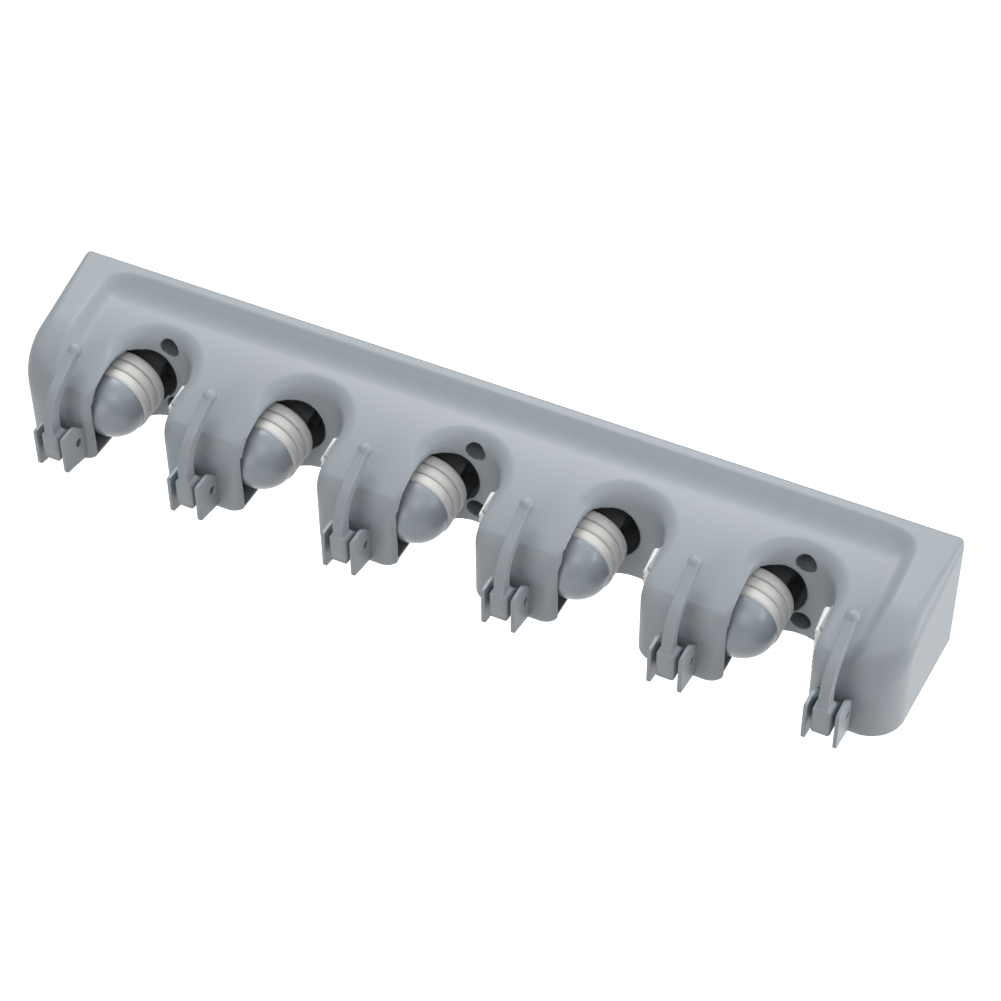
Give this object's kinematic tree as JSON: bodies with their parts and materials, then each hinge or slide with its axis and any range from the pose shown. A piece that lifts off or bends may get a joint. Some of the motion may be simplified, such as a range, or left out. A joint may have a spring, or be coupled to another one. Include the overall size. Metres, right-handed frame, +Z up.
{
  "type": "wall mop holder rack",
  "caption": "Long grey wall rack that pinches broom and mop handles between sliding ribbed rollers and grip pads, with fold-down hooks on its fingers and a shallow tray on top.",
  "frame": {"origin": "centre of the face that lies against the wall", "axes": "+X to the right along the wall, +Y into the wall, +Z up"},
  "size_m": [0.415, 0.0829, 0.058],
  "materials": {
    "shell": "satin moulded",
    "charcoal": "matt moulded",
    "screws": "zinc plated",
    "axle": "natural acetal",
    "roller": "satin moulded",
    "grip_rubber": "matt soft rubber"
  },
  "bodies": {
    "rack": {"front_shell": "shell", "back_plate": "charcoal", "plate_screws": "screws", "grip_pad_1": "grip_rubber", "grip_pad_2": "grip_rubber", "grip_pad_3": "grip_rubber", "grip_pad_4": "grip_rubber", "grip_pad_5": "grip_rubber"},
    "carriage_1": {"slide_block_1": "charcoal", "roller_axle_1": "axle"},
    "roller_1": {"roller_core_1": "roller", "grip_sleeve_1": "grip_rubber"},
    "carriage_2": {"slide_block_2": "charcoal", "roller_axle_2": "axle"},
    "roller_2": {"roller_core_2": "roller", "grip_sleeve_2": "grip_rubber"},
    "carriage_3": {"slide_block_3": "charcoal", "roller_axle_3": "axle"},
    "roller_3": {"roller_core_3": "roller", "grip_sleeve_3": "grip_rubber"},
    "carriage_4": {"slide_block_4": "charcoal", "roller_axle_4": "axle"},
    "roller_4": {"roller_core_4": "roller", "grip_sleeve_4": "grip_rubber"},
    "carriage_5": {"slide_block_5": "charcoal", "roller_axle_5": "axle"},
    "roller_5": {"roller_core_5": "roller", "grip_sleeve_5": "grip_rubber"},
    "hook_arm_1": {"hook_1": "shell"},
    "hook_arm_2": {"hook_2": "shell"},
    "hook_arm_3": {"hook_3": "shell"},
    "hook_arm_4": {"hook_4": "shell"},
    "hook_arm_5": {"hook_5": "shell"},
    "hook_arm_6": {"hook_6": "shell"}
  },
  "joints": [
    {"name": "roller_slide_1", "type": "slide", "parent": "rack", "child": "carriage_1", "axis": [-0.9397, 0, 0.342], "range_m": [0, 0.012]},
    {"name": "roller_spin_1", "type": "hinge", "parent": "carriage_1", "child": "roller_1", "pos_m": [-0.168, -0.0403, -0.0077], "axis": [0, 1, 0], "continuous": true},
    {"name": "roller_slide_2", "type": "slide", "parent": "rack", "child": "carriage_2", "axis": [-0.9397, 0, 0.342], "range_m": [0, 0.012]},
    {"name": "roller_spin_2", "type": "hinge", "parent": "carriage_2", "child": "roller_2", "pos_m": [-0.093, -0.0403, -0.0077], "axis": [0, 1, 0], "continuous": true},
    {"name": "roller_slide_3", "type": "slide", "parent": "rack", "child": "carriage_3", "axis": [-0.9397, 0, 0.342], "range_m": [0, 0.012]},
    {"name": "roller_spin_3", "type": "hinge", "parent": "carriage_3", "child": "roller_3", "pos_m": [-0.018, -0.0403, -0.0077], "axis": [0, 1, 0], "continuous": true},
    {"name": "roller_slide_4", "type": "slide", "parent": "rack", "child": "carriage_4", "axis": [-0.9397, 0, 0.342], "range_m": [0, 0.012]},
    {"name": "roller_spin_4", "type": "hinge", "parent": "carriage_4", "child": "roller_4", "pos_m": [0.057, -0.0403, -0.0077], "axis": [0, 1, 0], "continuous": true},
    {"name": "roller_slide_5", "type": "slide", "parent": "rack", "child": "carriage_5", "axis": [-0.9397, 0, 0.342], "range_m": [0, 0.012]},
    {"name": "roller_spin_5", "type": "hinge", "parent": "carriage_5", "child": "roller_5", "pos_m": [0.132, -0.0403, -0.0077], "axis": [0, 1, 0], "continuous": true},
    {"name": "hook_fold_1", "type": "hinge", "parent": "rack", "child": "hook_arm_1", "pos_m": [-0.18, -0.0717, -0.0146], "axis": [1, 0, 0], "range_deg": [0, 90]},
    {"name": "hook_fold_2", "type": "hinge", "parent": "rack", "child": "hook_arm_2", "pos_m": [-0.1125, -0.0717, -0.0146], "axis": [1, 0, 0], "range_deg": [0, 90]},
    {"name": "hook_fold_3", "type": "hinge", "parent": "rack", "child": "hook_arm_3", "pos_m": [-0.0375, -0.0717, -0.0146], "axis": [1, 0, 0], "range_deg": [0, 90]},
    {"name": "hook_fold_4", "type": "hinge", "parent": "rack", "child": "hook_arm_4", "pos_m": [0.0375, -0.0717, -0.0146], "axis": [1, 0, 0], "range_deg": [0, 90]},
    {"name": "hook_fold_5", "type": "hinge", "parent": "rack", "child": "hook_arm_5", "pos_m": [0.1125, -0.0717, -0.0146], "axis": [1, 0, 0], "range_deg": [0, 90]},
    {"name": "hook_fold_6", "type": "hinge", "parent": "rack", "child": "hook_arm_6", "pos_m": [0.18, -0.0717, -0.0146], "axis": [1, 0, 0], "range_deg": [0, 90]}
  ]
}
